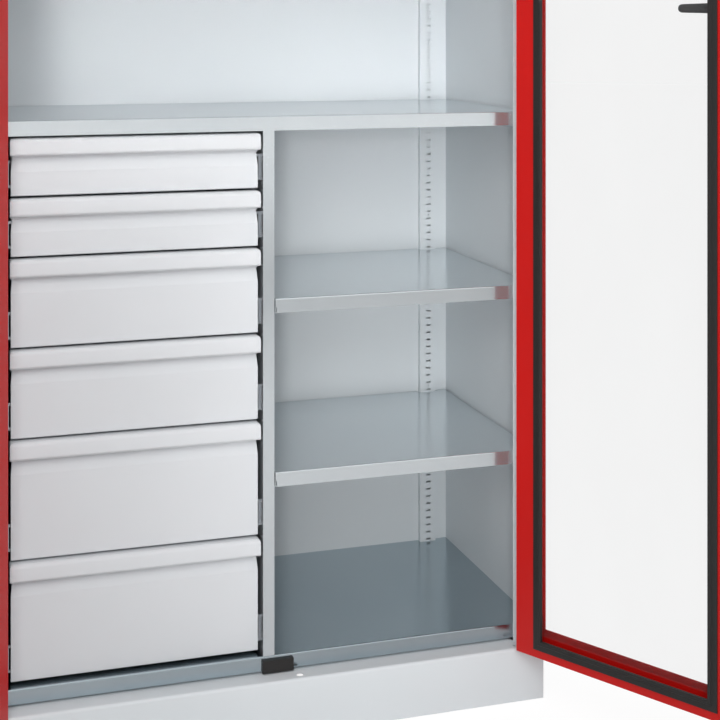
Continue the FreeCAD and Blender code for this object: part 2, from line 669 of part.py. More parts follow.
def make_shelf_supports():
    """Clips that hang in the slots and carry the shelves, and the ledge of the fixed shelf."""
    body = new_body("shelf_supports")
    rear_hangers = [(1, slot) for slot in HALF_SHELF_SLOTS + ["top_shelf_slot"]] + [(-1, "top_shelf_slot")]
    for number, (side, slot) in enumerate(rear_hangers):
        middle = f"{side} * {SLOT_X}"
        hang_clip(body, f"rear_{number}", "YZ", UPRIGHT_FRONT, -1, middle, slot, "carcass_sheet")
    for number, (side, slot) in enumerate(front_hangers()):
        middle = f"{side} * {FRONT_SLOT_X}"
        hang_clip(body, f"front_{number}", "YZ", SHELF_FRONT, 1, middle, slot, "carcass_sheet")
    for row, place in enumerate(divider_slots()):
        for slot in HALF_SHELF_SLOTS:
            hang_clip(body, f"divider_{row}_{slot}", "XZ", DIVIDER, 1, place, slot, "shelf_sheet")
    path = [
        (INNER, f"{DRAWERS_TOP} - ledge_width"),
        (INNER, DRAWERS_TOP),
        (f"{INNER} - ledge_width", DRAWERS_TOP),
    ]
    ledge_back = f"{SHELF_BACK} - ledge_inset"
    ledge_length = f"({ledge_back}) - ({SHELF_FRONT} + ledge_inset)"
    pad(body, "ledge", "XZ", ledge_back, ledge_length, [fold_outline(path, "clip_sheet")])


def hang_clip(body, name, plane, face, out, middle, slot, wall):
    """One clip: a ledge and a plate on the upright's face, and a tongue through the slot below the shelf."""
    top = shelf_low(slot)
    tongue = f"({top} - slot_pitch)"
    path = [
        (f"{face} + {out} * clip_reach", top),
        (face, top),
        (face, f"{top} - clip_drop"),
    ]
    start = f"{middle} + clip_width / 2" if plane == "XZ" else f"{middle} - clip_width / 2"
    side = 1 if out > 0 else -1
    pad(body, f"{name}_plate", plane, start, "clip_width", [fold_outline(path, "clip_sheet", side)])
    tongue_width = "(slot_width - 2 * clip_play)"
    tongue_half = "(slot_height / 2 - clip_play)"
    outline = box_outline(
        f"{face} - {out} * ({wall} + clip_sheet)",
        f"{tongue} - {tongue_half}",
        f"{face} + {out} * clip_sheet",
        f"{tongue} + {tongue_half}",
    )
    sign = "+" if plane == "XZ" else "-"
    pad(body, f"{name}_tongue", plane, f"{middle} {sign} {tongue_width} / 2", tongue_width, [outline])


def make_door_stop():
    """The black buffer on the floor panel's edge, just behind the closed doors."""
    body = new_body("door_stop")
    closed_door = f"({FRONT} + door_depth + stop_play)"
    outline = box_outline(
        "stop_shift - stop_width / 2", closed_door, "stop_shift + stop_width / 2", SHELF_FRONT)
    pad(body, "block", "XY", "plinth_height + floor_gap / 2", "stop_height", [outline])


# Drawers

def drawer_tops():
    """Upper edge and pitch of each drawer, from the top down."""
    pitches = ["small_pitch"] * 2 + ["medium_pitch"] * 2 + ["large_pitch"] * 2
    tops = []
    top = f"({DRAWERS_TOP} - drawer_gap)"
    for pitch in pitches:
        tops.append((top, pitch))
        top = f"({top} - {pitch})"
    return tops


def make_drawer_front(name, top, pitch):
    """A drawer front folded from one sheet: grip, finger gap, sloping band and face; with closed ends."""
    body = new_body(name)
    low = f"({top} - {pitch} + drawer_gap)"
    inside = f"({DRAWER_FACE} + finger_depth)"
    grip_low = f"({top} - grip_height)"
    band_top = f"({grip_low} - finger_height)"
    grip = [
        (f"{SHELF_FRONT} + grip_slope", top, "grip_round"),
        (SHELF_FRONT, grip_low, "grip_lower_round"),
    ]
    path = [(f"{DRAWER_FACE} + front_fold", top)] + grip + [
        (inside, f"{grip_low} + grip_rise"),
        (inside, band_top),
        (DRAWER_FACE, f"{band_top} - band_height"),
        (DRAWER_FACE, low),
        (f"{DRAWER_FACE} + front_fold", low),
    ]
    width = f"{DRAWER_RIGHT} - {DRAWER_LEFT}"
    pad(body, "sheet", "YZ", DRAWER_LEFT, width, [fold_outline(path, "drawer_sheet")])
    end_outline = [(inside, top)] + grip + [(inside, f"{grip_low} + grip_rise")]
    pad(body, "left_end", "YZ", DRAWER_LEFT, "grip_end", [end_outline])
    pad(body, "right_end", "YZ", f"{DRAWER_RIGHT} - grip_end", "grip_end", [end_outline])
    round_grip_ends(body, top)


def round_grip_ends(body, top):
    """Rounds the grip's two upper corners as seen from the front."""
    corners = []
    for edge, inward in ((DRAWER_LEFT, 1), (DRAWER_RIGHT, -1)):
        corners.append([
            (f"{edge} - {inward} * grip_corner", f"{top} + grip_corner"),
            (f"{edge} + {inward} * 2 * grip_corner", f"{top} + grip_corner"),
            (f"{edge} + {inward} * 2 * grip_corner", top),
            (edge, top, "grip_corner"),
            (edge, f"{top} - 2 * grip_corner"),
            (f"{edge} - {inward} * grip_corner", f"{top} - 2 * grip_corner"),
        ])
    pocket(body, "corners", "XZ", SHELF_FRONT, "face_recess + drawer_sheet", corners)


def make_drawer_box(name, top, pitch):
    """An open steel box behind the drawer front, welded from a bottom and four walls that stand on it."""
    low = f"({top} - {pitch} + drawer_gap + drawer_rise)"
    floor = f"({low} + drawer_sheet)"
    wall_height = f"({pitch} - drawer_drop - drawer_sheet)"
    back = f"({BOX_FRONT} + drawer_depth)"
    left = f"({BOX_LEFT} + drawer_sheet)"
    right = f"({BOX_RIGHT} - drawer_sheet)"
    plates = [
        ("bottom", low, "drawer_sheet", BOX_LEFT, BOX_FRONT, BOX_RIGHT, back),
        ("wall_left", floor, wall_height, BOX_LEFT, BOX_FRONT, left, back),
        ("wall_right", floor, wall_height, right, BOX_FRONT, BOX_RIGHT, back),
        ("wall_front", floor, wall_height, left, BOX_FRONT, right, f"({BOX_FRONT} + drawer_sheet)"),
        ("wall_rear", floor, wall_height, left, f"({back} - drawer_sheet)", right, back),
    ]
    for plate, start, height, *corners in plates:
        pad(new_body(name, plate), "plate", "XY", start, height, [box_outline(*corners)])


def rail_section(side, middle, near, far, half_height, open_to_wall):
    """A C-shaped slide on one side of the drawers: near and far are distances from the wall."""
    wall = f"(-{SLIDE_PANEL})" if side < 0 else f"(-{DIVIDER})"
    web, lip = (far, near) if open_to_wall else (near, far)
    path = [
        (f"{wall} - {side} * {lip}", f"{middle} - {half_height}"),
        (f"{wall} - {side} * {web}", f"{middle} - {half_height}"),
        (f"{wall} - {side} * {web}", f"{middle} + {half_height}"),
        (f"{wall} - {side} * {lip}", f"{middle} + {half_height}"),
    ]
    left_turn = (side > 0) != open_to_wall
    return fold_outline(path, "rail_sheet", 1 if left_turn else -1)


def make_rails(name, drawers, near, far, half_height, open_to_wall=False):
    """A pair of slides for each drawer, all in one piece of the slide's three."""
    body = new_body(name)
    sections = []
    for top, pitch in drawers:
        middle = f"({top} - {pitch} + drawer_gap + drawer_rise + rail_rise)"
        for side in SIDES.values():
            sections.append(rail_section(side, middle, near, far, half_height, open_to_wall))
    pad(body, "rails", "XZ", f"{RAIL_FRONT} + rail_length", "rail_length", sections)


def make_slides():
    """Fixed, middle and drawer slides, nested in each other with a little play."""
    step = "(rail_sheet + rail_play)"
    drawers = drawer_tops()
    half = "(rail_height / 2)"
    far = f"(rail_width - {step})"
    make_rails("slide_fixed_rails", drawers, "0", far, half)
    for number, drawer in enumerate(drawers, 1):
        make_rails(f"drawer_{number}_mid_rails", [drawer], step, far, f"({half} - {step})")
        near = f"(2 * {step})"
        inner_half = f"({half} - 2 * {step})"
        make_rails(f"drawer_{number}_inner_rails", [drawer], near, "rail_width", inner_half, True)


# Doors, drawn closed with the hinge pin as their own origin, then turned open about it

def hang_on_hinge(body, side):
    """Places a piece of a door at its hinge, open."""
    body.Placement.Rotation = FreeCAD.Rotation(FreeCAD.Vector(0, 0, side), 1)
    body.setExpression("Placement.Rotation.Angle", bind("door_angle"))
    body.setExpression("Placement.Base.x", bind(f"{side} * {HINGE_X}"))
    body.setExpression("Placement.Base.y", bind(FRONT))


def door_outline(side, hinge_margin, lock_margin, rail_margin):
    """A rectangle inside the door's edges by the given margins."""
    return box_outline(
        f"{-side} * ({DOOR_EDGE} + {hinge_margin})",
        f"{DOOR_BOTTOM} + {rail_margin}",
        f"{-side} * ({DOOR_FREE} - {lock_margin})",
        f"{DOOR_TOP} - {rail_margin}",
    )


def make_door_frame(side_name):
    """A door's steel tray with its window, inner folds and hinge cut-outs; the right one takes the lock."""
    side = SIDES[side_name]
    body = new_body(f"door_frame_{side_name}")
    pad(body, "block", "XZ", "door_depth", "door_depth", [door_outline(side, "0", "0", "0")])
    hollow = door_outline(side, "door_sheet", "door_sheet", "door_sheet")
    pocket(body, "hollow", "XZ", "door_sheet", "door_depth - 2 * door_sheet", [hollow])
    folds = door_outline(side, "hinge_fold", "lock_fold", "rail_fold")
    pocket(body, "folds", "XZ", "door_depth - door_sheet", "door_sheet", [folds])
    window = door_outline(side, "hinge_frame", "lock_frame", "rail_frame")
    pocket(body, "window", "XZ", "0", "door_sheet", [window])
    notches = [
        box_outline(
            f"{-side} * {DOOR_EDGE}",
            f"{low} - notch_play",
            f"{-side} * (barrel_radius + notch_play)",
            f"{low} + 2 * barrel_height + barrel_gap + notch_play",
        )
        for low in hinge_heights()
    ]
    pocket(body, "hinge_notch", "XZ", "0", "barrel_radius + notch_play", notches)
    if side > 0:
        rod_hole = (f"-{ROD_X}", "rod_depth", "rod_radius + rod_play")
        pocket(body, "lower_rod_hole", "XY", f"{DOOR_BOTTOM} + door_sheet", "door_sheet", circles=[rod_hole])
        pocket(body, "upper_rod_hole", "XY", DOOR_TOP, "door_sheet", circles=[rod_hole])
        spindle_hole = (f"-{ROD_X}", "handle_height", "spindle_radius + turn_play")
        pocket(body, "spindle_hole", "XZ", "0", "door_sheet", circles=[spindle_hole])
    hang_on_hinge(body, side)


def make_window(side_name):
    """The clear pane behind the door's skin."""
    side = SIDES[side_name]
    body = new_body(f"window_{side_name}")
    margins = [f"({frame} - pane_lap)" for frame in ("hinge_frame", "lock_frame", "rail_frame")]
    outline = door_outline(side, *margins)
    pad(body, "pane", "XZ", "door_sheet + pane_thickness", "pane_thickness", [outline])
    hang_on_hinge(body, side)


def make_seal(side_name):
    """The rubber profile on the free edge of the door's inner folds: a grooved ring with a raised bead."""
    side = SIDES[side_name]
    body = new_body(f"door_seal_{side_name}")

    def ring(shift):
        margins = [f"({fold} + {shift})" for fold in ("hinge_fold", "lock_fold", "rail_fold")]
        return door_outline(side, *margins)

    fold_front = "(door_depth - door_sheet)"
    base_depth = "(door_sheet + seal_leg + seal_lip)"
    pad(body, "base", "XZ", "door_depth + seal_lip", base_depth, [ring("-seal_grip"), ring("seal_bulb")])
    bead = [ring("bead_start"), ring("seal_bulb")]
    pad(body, "bead", "XZ", "door_depth + seal_bead", "seal_bead - seal_lip", bead)
    groove = [ring("-seal_grip"), ring("0")]
    pocket(body, "groove", "XZ", fold_front, "door_sheet", groove)
    hang_on_hinge(body, side)


def add_barrel(body, name, low, leaf_front, away, middle_x, middle_y):
    """A hinge barrel with its leaf, round the pin's axis."""
    pad(body, f"{name}_barrel", "XY", low, "barrel_height", circles=[(middle_x, middle_y, "barrel_radius")])
    leaf = box_outline(
        middle_x,
        leaf_front,
        f"{middle_x} + {away} * leaf_width",
        f"{leaf_front} + leaf_thickness",
    )
    pad(body, f"{name}_leaf", "XY", low, "barrel_height", [leaf])


def make_fixed_knuckles():
    """The fixed halves of the lift-off hinges, welded behind the sides' flanges, each with its pin."""
    body = new_body("hinge_knuckles_fixed")
    for side_name, side in SIDES.items():
        for number, low in enumerate(hinge_heights()):
            name = f"{side_name}_{number}"
            leaf_front = f"({FRONT} + carcass_sheet)"
            middle_x = f"({side} * {HINGE_X})"
            add_barrel(body, name, low, leaf_front, side, middle_x, FRONT)
            pin = (middle_x, FRONT, "pin_radius")
            pin_length = "barrel_gap + barrel_height"
            pad(body, f"{name}_pin", "XY", f"{low} + barrel_height", pin_length, circles=[pin])


def make_door_knuckles(side_name):
    """The door's halves of the hinges, welded behind its skin and bored for the pins."""
    side = SIDES[side_name]
    body = new_body(f"hinge_knuckles_{side_name}")
    for number, low in enumerate(hinge_heights()):
        start = f"({low} + barrel_height + barrel_gap)"
        add_barrel(body, f"hinge_{number}", start, "door_sheet", -side, "0", "0")
        bore = ("0", "0", "pin_radius + pin_play")
        pocket(body, f"bore_{number}", "XY", f"{start} + barrel_height", "barrel_height", circles=[bore])
    hang_on_hinge(body, side)


# Lock and handle of the right door

def make_lock_case():
    """The box behind the door's skin that the handle and both rods work in."""
    body = new_body("lock_case")
    case_low = "handle_height - case_height / 2"
    case_top = "handle_height + case_height / 2"
    case = box_outline(f"-{ROD_X} - case_width / 2", case_low, f"-{ROD_X} + case_width / 2", case_top)
    pad(body, "block", "XZ", "door_sheet + case_depth", "case_depth", [case])
    rod_bore = (f"-{ROD_X}", "rod_depth", "rod_radius + rod_play")
    pocket(body, "upper_bore", "XY", case_top, "case_bore", circles=[rod_bore])
    pocket(body, "lower_bore", "XY", f"{case_low} + case_bore", "case_bore", circles=[rod_bore])
    spindle_bore = (f"-{ROD_X}", "handle_height", "spindle_radius + turn_play")
    pocket(body, "spindle_bore", "XZ", "door_sheet", "spindle_length", circles=[spindle_bore])
    hang_on_hinge(body, 1)


def make_rods():
    """Two round rods from the lock case to the door's ends, drawn in while the door is open."""
    section = [(f"-{ROD_X}", "rod_depth", "rod_radius")]
    lower = new_body("rod_lower")
    low = f"({DOOR_BOTTOM} + rod_end)"
    lower_top = "(handle_height - case_height / 2 + rod_seat)"
    pad(lower, "rod", "XY", low, f"{lower_top} - {low}", circles=section)
    hang_on_hinge(lower, 1)
    upper = new_body("rod_upper")
    upper_low = "(handle_height + case_height / 2 - rod_seat)"
    pad(upper, "rod", "XY", upper_low, f"{DOOR_TOP} - rod_end - {upper_low}", circles=section)
    hang_on_hinge(upper, 1)


def make_handle_plate():
    """The plate on the door's face that the handle and the lock cylinder turn in."""
    body = new_body("handle_plate")
    low = "handle_height + plate_top - plate_height"
    high = "handle_height + plate_top"
    left = f"-{ROD_X} - plate_width / 2"
    right = f"-{ROD_X} + plate_width / 2"
    outline = box_outline(left, low, right, high, "(plate_width - plate_flat) / 2")
    pad(body, "plate", "XZ", "0", "plate_thickness", [outline])
    holes = [
        (f"-{ROD_X}", "handle_height", "hub_radius + turn_play"),
        (f"-{ROD_X}", "handle_height - cylinder_drop", "cylinder_radius + turn_play"),
    ]
    pocket(body, "holes", "XZ", "-plate_thickness", "plate_thickness", circles=holes)
    hang_on_hinge(body, 1)


def make_handle():
    """Hub, spindle and tapered lever; the lever lies level while the rods are drawn in."""
    body = new_body("swivel_handle")
    middle = f"(-{ROD_X})"
    pad(body, "hub", "XZ", "0", "hub_length", circles=[(middle, "handle_height", "hub_radius")])
    spindle = (middle, "handle_height", "spindle_radius")
    pad(body, "spindle", "XZ", "spindle_length", "spindle_length", circles=[spindle])
    root = f"{middle} - lever_width / 2"
    root_round = "(lever_width - lever_flat) / 2"
    tip = f"{middle} + lever_length"
    tip_round = "(lever_tip - lever_flat) / 2"
    lever = [
        (root, "handle_height - lever_width / 2", root_round),
        (tip, "handle_height - lever_tip / 2", tip_round),
        (tip, "handle_height + lever_tip / 2", tip_round),
        (root, "handle_height + lever_width / 2", root_round),
    ]
    pad(body, "lever", "XZ", "lever_thickness - hub_length", "lever_thickness", [lever])
    hang_on_hinge(body, 1)


def make_lock_cylinder():
    """The lock cylinder with its key slot."""
    body = new_body("lock_cylinder")
    middle = f"(-{ROD_X})"
    height = "(handle_height - cylinder_drop)"
    pad(body, "barrel", "XZ", "0", "cylinder_length", circles=[(middle, height, "cylinder_radius")])
    slot = box_outline(
        f"{middle} - key_width / 2",
        f"{height} - key_height / 2",
        f"{middle} + key_width / 2",
        f"{height} + key_height / 2",
    )
    pocket(body, "key_slot", "XZ", "-cylinder_length", "key_depth", [slot])
    hang_on_hinge(body, 1)


def make_meeting_strip():
    """The strip on the right door that laps over the left door's edge."""
    body = new_body("meeting_strip")
    free = f"(-{DOOR_FREE})"
    outline = [
        (f"{free} + strip_width - strip_lap", "0"),
        (free, "0"),
        (free, "-strip_play"),
        (f"{free} - strip_lap", "-strip_play"),
        (f"{free} - strip_lap", "-strip_play - strip_thickness"),
        (f"{free} + strip_width - strip_lap", "-strip_play - strip_thickness"),
    ]
    pad(body, "strip", "XY", DOOR_BOTTOM, f"{DOOR_TOP} - {DOOR_BOTTOM}", [outline])
    hang_on_hinge(body, 1)


# The whole cabinet

for side_name in SIDES:
    make_side(side_name)
    make_rear_upright(side_name)
make_front_uprights()
make_back_panel()
make_top_panel()
make_plinth_front()
make_header_front()
make_divider()
make_mounting_panel()
full_right = f"({INNER} - shelf_play)"
half_left = f"({DIVIDER} + shelf_play)"
both_sides = list(SIDES.values())
make_shelf("floor_panel", f"-{INNER}", INNER, BACK, FLOOR)
make_shelf("upper_shelf", f"-{full_right}", full_right, SHELF_BACK, FIXED_TOP, both_sides)
top_shelf_top = f"({shelf_low('top_shelf_slot')} + edge_height)"
make_shelf("top_shelf", f"-{full_right}", full_right, SHELF_BACK, top_shelf_top, both_sides)
for place in ("lower", "upper"):
    shelf_top = f"({shelf_low(place + '_shelf_slot')} + edge_height)"
    make_shelf(f"half_shelf_{place}", half_left, full_right, SHELF_BACK, shelf_top, [1])
make_shelf_supports()
make_door_stop()
for number, (top, pitch) in enumerate(drawer_tops(), 1):
    make_drawer_front(f"drawer_{number}_front", top, pitch)
    make_drawer_box(f"drawer_{number}_box", top, pitch)
make_slides()
for side_name in SIDES:
    make_door_frame(side_name)
    make_window(side_name)
    make_seal(side_name)
    make_door_knuckles(side_name)
make_fixed_knuckles()
make_lock_case()
make_rods()
make_handle_plate()
make_handle()
make_lock_cylinder()
make_meeting_strip()
doc.recompute()

# Nothing is written unless every feature worked and every cut took material away
for item in doc.Objects:
    if "Invalid" in item.State or "Error" in item.State:
        raise RuntimeError(f"{item.Label} failed: {item.State}")
    if item.TypeId == "PartDesign::Pocket" and item.Shape.Volume >= item.BaseFeature.Shape.Volume:
        raise RuntimeError(f"{item.Label} cuts nothing")
shapes = {name: Part.makeCompound([body.Shape for body in bodies]) for name, bodies in pieces.items()}
for name, shape in shapes.items():
    if not shape.Solids or not shape.isValid():
        raise RuntimeError(f"{name} has no valid shape")
os.makedirs("parts", exist_ok=True)
for name, shape in shapes.items():
    shape.exportStep(f"parts/{name}.step")
print(f"{len(shapes)} pieces written")
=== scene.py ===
# %% [markdown]
# # A storage cabinet with glazed doors
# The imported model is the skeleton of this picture: every sheet, slide and hinge is already in its
# place, in metres. The lesson gives each of them a finish, remakes the few shapes that need soft
# bends, and sets up the camera and the light of a product picture.

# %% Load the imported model
import json
import math

import bmesh
import bpy
import numpy as np
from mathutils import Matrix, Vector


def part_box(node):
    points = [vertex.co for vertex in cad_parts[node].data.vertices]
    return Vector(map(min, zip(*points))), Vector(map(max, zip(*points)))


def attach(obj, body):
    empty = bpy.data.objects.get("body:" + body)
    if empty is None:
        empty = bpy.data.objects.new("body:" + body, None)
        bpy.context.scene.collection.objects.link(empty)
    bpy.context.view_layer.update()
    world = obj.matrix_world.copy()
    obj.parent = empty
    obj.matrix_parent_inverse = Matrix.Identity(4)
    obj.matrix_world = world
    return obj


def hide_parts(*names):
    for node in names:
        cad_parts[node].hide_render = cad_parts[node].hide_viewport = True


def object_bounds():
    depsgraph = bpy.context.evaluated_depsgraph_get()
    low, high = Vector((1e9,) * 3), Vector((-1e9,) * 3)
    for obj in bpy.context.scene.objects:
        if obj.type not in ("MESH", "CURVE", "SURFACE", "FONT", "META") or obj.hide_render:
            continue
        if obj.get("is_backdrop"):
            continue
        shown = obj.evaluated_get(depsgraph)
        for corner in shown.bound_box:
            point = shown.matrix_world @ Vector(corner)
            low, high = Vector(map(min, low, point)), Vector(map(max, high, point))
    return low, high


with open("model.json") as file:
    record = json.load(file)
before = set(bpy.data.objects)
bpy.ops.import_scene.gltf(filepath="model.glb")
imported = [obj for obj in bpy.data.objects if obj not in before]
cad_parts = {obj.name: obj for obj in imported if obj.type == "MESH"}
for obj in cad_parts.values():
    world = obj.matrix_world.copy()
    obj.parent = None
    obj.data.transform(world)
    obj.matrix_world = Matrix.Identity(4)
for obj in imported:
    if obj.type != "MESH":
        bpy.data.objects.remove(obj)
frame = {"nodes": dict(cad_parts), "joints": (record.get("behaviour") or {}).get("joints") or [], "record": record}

nodes = frame["nodes"]
joints = {joint["name"]: joint for joint in frame["joints"]}
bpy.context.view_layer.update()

# %% [markdown]
# ## Camera
# The picture is a close view of the lower right part of a tall cabinet, taken level: its upright
# edges are parallel. A level camera with a vertical shift keeps them so, where tilting it down would
# make them lean. The numbers come from a fit of the drawer edges, shelf edges and slots.

# %% Camera at the photograph's viewpoint
IMAGE_SIZE = 720
FOCAL_PIXELS = 1463.25
HORIZON_ROW = 23.46
SENSOR_WIDTH = 36.0
CAMERA_PLACE = (-0.60585, -2.43195, 1.21492)
CAMERA_HEADING = -17.441
camera_data = bpy.data.cameras.new("photo_camera")
camera_data.sensor_width = SENSOR_WIDTH
camera_data.lens = SENSOR_WIDTH * FOCAL_PIXELS / IMAGE_SIZE
camera_data.shift_y = (HORIZON_ROW - IMAGE_SIZE / 2) / IMAGE_SIZE
camera = bpy.data.objects.new("photo_camera", camera_data)
camera.location = CAMERA_PLACE
camera.rotation_euler = (math.radians(90), 0.0, math.radians(CAMERA_HEADING))
bpy.context.scene.collection.objects.link(camera)
bpy.context.scene.camera = camera
print("lens", round(camera_data.lens, 2), "mm, shift", round(camera_data.shift_y, 3))

# %% [markdown]
# ## A small language for finishes
# A finish is a tree of nodes. Wiring each sum by hand hides the idea, so a socket is wrapped in a
# class that knows plus, minus and times: `0.4 + 0.1 * grain` then adds its own Math nodes. Every
# other node comes from one method, which takes the node's kind, its settings and its sockets.

# %% Sockets that can be added and multiplied
class Wire:
    """An output socket of a finish; sums and products of it become Math nodes."""

    def __init__(self, finish, socket):
        self.finish = finish
        self.socket = socket

    def math(self, operation, first, second):
        return self.finish.node("ShaderNodeMath", {"operation": operation}, {0: first, 1: second})

    def __add__(self, other):
        return self.math("ADD", self, other)

    def __sub__(self, other):
        return self.math("SUBTRACT", self, other)

    def __rsub__(self, other):
        return self.math("SUBTRACT", other, self)

    def __mul__(self, other):
        return self.math("MULTIPLY", self, other)

    __radd__ = __add__
    __rmul__ = __mul__


# %% Finishes that are built node by node
class Finish:
    """A material under construction, with its main shader."""

    def __init__(self, name):
        self.material = bpy.data.materials.new(name)
        self.material.use_nodes = True
        self.tree = self.material.node_tree
        self.shader = self.tree.nodes["Principled BSDF"]

    def node(self, kind, settings, sockets, output=0):
        """Adds a node of this kind: settings first, then values or wires for its sockets."""
        made = self.tree.nodes.new(kind)
        for setting, value in settings.items():
            setattr(made, setting, value)
        self.feed(made, sockets)
        return Wire(self, made.outputs[output])

    def feed(self, node, sockets):
        """Gives sockets their values, or links them to wires."""
        for socket, value in sockets.items():
            if isinstance(value, Wire):
                self.tree.links.new(value.socket, node.inputs[socket])
            else:
                node.inputs[socket].default_value = value

    def grain(self, spacing, stretch=(1.0, 1.0, 1.0), detail=2.0):
        """Noise with grains about this far apart in metres, drawn out along the axes with a small stretch."""
        place = self.node("ShaderNodeTexCoord", {}, {}, "Object")
        scale = tuple(factor / spacing for factor in stretch)
        scaled = self.node("ShaderNodeMapping", {}, {"Vector": place, "Scale": scale})
        return self.node("ShaderNodeTexNoise", {}, {"Vector": scaled, "Scale": 1.0, "Detail": detail})

    def blend(self, factor, first, second):
        """A colour between two others."""
        return self.node("ShaderNodeMix", {"data_type": "RGBA"}, {0: factor, 6: first, 7: second}, 2)

    def relief(self, height, depth):
        """A surface normal from a height pattern, with the relief's depth in metres."""
        return self.node("ShaderNodeBump", {}, {"Height": height, "Strength": 1.0, "Distance": depth})


def colour(red, green, blue):
    """A display colour from 0 to 255 as the linear colour that shaders use."""
    share = np.array([red, green, blue]) / 255
    linear = np.where(share <= 0.04045, share / 12.92, ((share + 0.055) / 1.055) ** 2.4)
    return (*linear.tolist(), 1.0)


# %% [markdown]
# ## Powder-coated steel
# The carcass, the drawers and the door frames are coated with baked powder. It melts into a skin with
# a faint orange peel, about 1.5 mm from crest to crest, and its tone drifts a little over a large
# sheet. Two noise patterns give both: a slow one for tone and gloss, a quick one for the peel.

# %% The three powder coats
DRIFT_SPACING = 0.22
SPECK_SPACING = 0.006
PEEL_SPACING = 0.0015
PEEL_DEPTH = 0.00002


def powder_coat(name, pale, deep, gloss):
    """A satin coat between two near tones, with orange peel; gloss is its mean roughness."""
    finish = Finish(name)
    drift = finish.grain(DRIFT_SPACING, detail=3.0)
    peel = finish.grain(PEEL_SPACING, detail=1.0)
    speck = finish.grain(SPECK_SPACING, detail=2.0)
    finish.feed(finish.shader, {
        "Base Color": finish.blend(drift, deep, pale),
        "Roughness": gloss - 0.04 + 0.05 * drift + 0.03 * speck,
        "Normal": finish.relief(peel, PEEL_DEPTH),
        "Specular IOR Level": 0.3,
    })
    return finish.material


finishes = {
    "carcass_grey": powder_coat("carcass_powder_coat", colour(228, 233, 236), colour(222, 228, 231), 0.42),
    "drawer_grey": powder_coat("drawer_powder_coat", colour(224, 227, 230), colour(218, 221, 224), 0.40),
    "door_red": powder_coat("door_powder_coat", colour(205, 22, 17), colour(198, 19, 15), 0.36),
}
print("powder coats:", sorted(finishes))

# %% [markdown]
# ## Bright zinc sheet
# Shelves, floor and divider are plain zinc-coated sheet that mirrors the room softly. Rolling leaves
# fine lines along the sheet, which widen the mirror image across them. A metal shader with low
# roughness does the mirroring; a noise pattern drawn out along X makes the rolling lines. The floor panel
# is the same zinc but gets a darker copy of it: painted shade, for the dimmer light and mirror image low in the
# cabinet.

# %% Mirroring sheet and brushed fittings
def rolled_metal(name, pale, deep, gloss, lines, depth, bare=1.0):
    """Rolled metal: gloss is its mean roughness, lines the spacing of its rolling lines, and bare the
    share of its look that is naked metal; the rest is the chalky skin that zinc grows."""
    finish = Finish(name)
    streak = finish.grain(lines, (0.02, 1.0, 1.0), 3.0)
    cloud = finish.grain(0.12, detail=2.0)
    finish.feed(finish.shader, {
        "Base Color": finish.blend(cloud, deep, pale),
        "Metallic": bare,
        "Roughness": gloss - 0.05 + 0.06 * streak + 0.05 * cloud,
        "Normal": finish.relief(streak, depth),
    })
    return finish.material


finishes["shelf_grey"] = rolled_metal(
    "shelf_zinc", colour(222, 228, 231), colour(214, 221, 225),
    gloss=0.16, lines=0.003, depth=0.000004, bare=0.8)
# A darker copy of the shelf zinc for the floor panel: painted shade and a dimmer painted reflection, not a duller
# metal.
floor_zinc = rolled_metal(
    "floor_zinc", colour(186, 198, 204), colour(177, 190, 197),
    gloss=0.18, lines=0.003, depth=0.000004)
finishes["zinc_steel"] = rolled_metal(
    "slide_zinc", colour(205, 209, 214), colour(190, 195, 202),
    gloss=0.30, lines=0.002, depth=0.000008)
finishes["hinge_steel"] = rolled_metal(
    "hinge_zinc", colour(192, 195, 199), colour(176, 180, 186),
    gloss=0.32, lines=0.0015, depth=0.000008)
finishes["chrome_lock"] = rolled_metal(
    "lock_chrome", colour(232, 233, 235), colour(224, 225, 228),
    gloss=0.10, lines=0.001, depth=0.000003)
print("metals: shelves, slides, hinges, lock")

# %% [markdown]
# ## Rubber, plastic and the clear pane
# The rubber profile is matt black with a faint bloom, the handle is moulded plastic with a fine
# spark-eroded grain. The pane is clear acrylic: almost all light passes, so its alpha is low, and what
# little it shows is a grey veil with a gloss that handling has made slightly uneven.

# %% Dark plastics and the pane
def moulded_black(name, pale, deep, gloss, spacing, depth):
    """A black moulding with a grained skin."""
    finish = Finish(name)
    bloom = finish.grain(0.05, detail=3.0)
    skin = finish.grain(spacing, detail=2.0)
    finish.feed(finish.shader, {
        "Base Color": finish.blend(bloom, deep, pale),
        "Roughness": gloss - 0.05 + 0.1 * bloom,
        "Normal": finish.relief(skin, depth),
    })
    return finish.material


def clear_sheet(name, veil, share, gloss):
    """A see-through sheet that covers this share of what lies behind it."""
    finish = Finish(name)
    wipe = finish.grain(0.09, (1.0, 1.0, 0.4), 3.0)
    finish.feed(finish.shader, {
        "Base Color": veil,
        "Roughness": gloss + 0.06 * wipe,
        "Alpha": share - 0.01 + 0.02 * wipe,
    })
    return finish.material


finishes["black_rubber"] = moulded_black(
    "seal_rubber", colour(37, 35, 34), colour(30, 28, 28),
    gloss=0.55, spacing=0.0008, depth=0.00003)
finishes["black_plastic"] = moulded_black(
    "handle_plastic", colour(46, 46, 47), colour(38, 38, 39),
    gloss=0.42, spacing=0.0006, depth=0.00004)
finishes["clear_pane"] = clear_sheet("pane_acrylic", colour(150, 155, 156), share=0.06, gloss=0.05)
print(len(finishes), "finishes")

# %% [markdown]
# ## Dressing the CAD pieces
# The record names a slot for each piece, as a maker's list names its coat. One loop over the pieces puts
# the finish into the slot and leaves the meshes as they came.

# %% Every CAD piece gets the finish of its slot
slots = {part["node"]: part["material_slot"] for part in frame["record"]["subparts"]}
for name, node in nodes.items():
    for holder in node.material_slots:
        # The floor panel gets the darker zinc copy instead of its slot's finish: painted shade.
        holder.material = floor_zinc if name == "floor_panel" else finishes[slots[name]]
print("finished", len(nodes), "CAD pieces")

